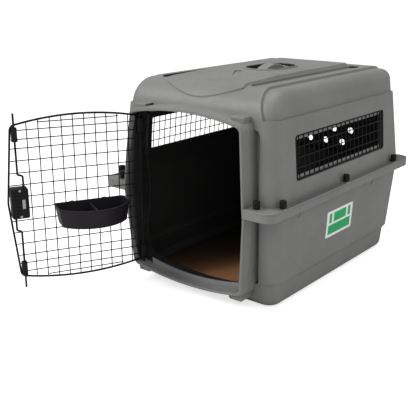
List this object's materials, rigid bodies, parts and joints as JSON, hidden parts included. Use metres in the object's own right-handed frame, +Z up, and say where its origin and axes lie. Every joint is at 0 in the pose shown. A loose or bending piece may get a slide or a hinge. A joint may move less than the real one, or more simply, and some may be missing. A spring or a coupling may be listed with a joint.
{
  "type": "pet transport carrier",
  "caption": "Two-part moulded plastic pet carrier with wire side windows, a swinging wire door with a squeeze latch, a hooked feeding cup and a roof handle.",
  "frame": {"origin": "on the floor, at the centre of the flange rectangle in plan", "axes": "+Z up, -Y towards the doorway, +X to the right of someone facing the doorway"},
  "size_m": [0.5782, 0.9753, 0.536],
  "materials": {
    "shell_plastic": "moulded polypropylene, fine matt texture",
    "handle_plastic": "moulded polypropylene, slightly smoother than the shells",
    "black_plastic": "black moulded nylon",
    "cup_plastic": "charcoal moulded plastic, satin",
    "black_wire": "black powder-coated steel wire",
    "zinc_steel": "zinc-plated steel",
    "spring_steel": "bare spring steel",
    "pad_fabric": "brown needle-felt liner",
    "label_film": "white printed film with plain green bands and no words",
    "blank_plate": "blank pale plate"
  },
  "bodies": {
    "shell": {"lower_shell": "shell_plastic", "upper_shell": "shell_plastic", "carry_handle": "handle_plastic", "handle_screws": "zinc_steel", "flange_bolts": "zinc_steel", "flange_washers": "zinc_steel", "flange_nuts": "black_plastic", "right_window_frame_wire": "black_wire", "left_window_frame_wire": "black_wire", "right_window_mesh": "black_wire", "left_window_mesh": "black_wire", "floor_pad": "pad_fabric", "side_label": "label_film"},
    "door": {"door_frame": "black_wire", "door_upright_wires": "black_wire", "door_level_wires": "black_wire", "hinge_rod": "black_wire", "hinge_rod_guides": "black_plastic", "upper_rod_guide": "black_plastic", "lower_rod_guide": "black_plastic", "latch_case": "black_plastic", "latch_cover": "black_plastic", "latch_screws": "zinc_steel", "latch_label": "blank_plate", "upper_latch_spring": "spring_steel", "lower_latch_spring": "spring_steel"},
    "upper_latch": {"upper_latch_rod": "black_wire", "upper_latch_tab": "black_plastic"},
    "lower_latch": {"lower_latch_rod": "black_wire", "lower_latch_tab": "black_plastic"},
    "feeding_cup": {"feeding_cup": "cup_plastic"}
  },
  "joints": [
    {"name": "door_swing", "type": "hinge", "parent": "shell", "child": "door", "pos_m": [-0.1524, -0.3255, 0.242], "axis": [0, 0, -1], "range_deg": [-117, 3]},
    {"name": "upper_latch_slide", "type": "slide", "parent": "door", "child": "upper_latch", "axis": [0, 0, -1], "range_m": [0, 0.02], "stiffness_N_per_m": 250, "springref_m": -0.004, "deforming": ["upper_latch_spring"]},
    {"name": "lower_latch_slide", "type": "slide", "parent": "door", "child": "lower_latch", "axis": [0, 0, 1], "range_m": [0, 0.02], "stiffness_N_per_m": 250, "springref_m": -0.004, "deforming": ["lower_latch_spring"]},
    {"name": "cup_lift", "type": "slide", "parent": "door", "child": "feeding_cup", "axis": [0, 0, 1], "range_m": [0, 0.02]}
  ]
}
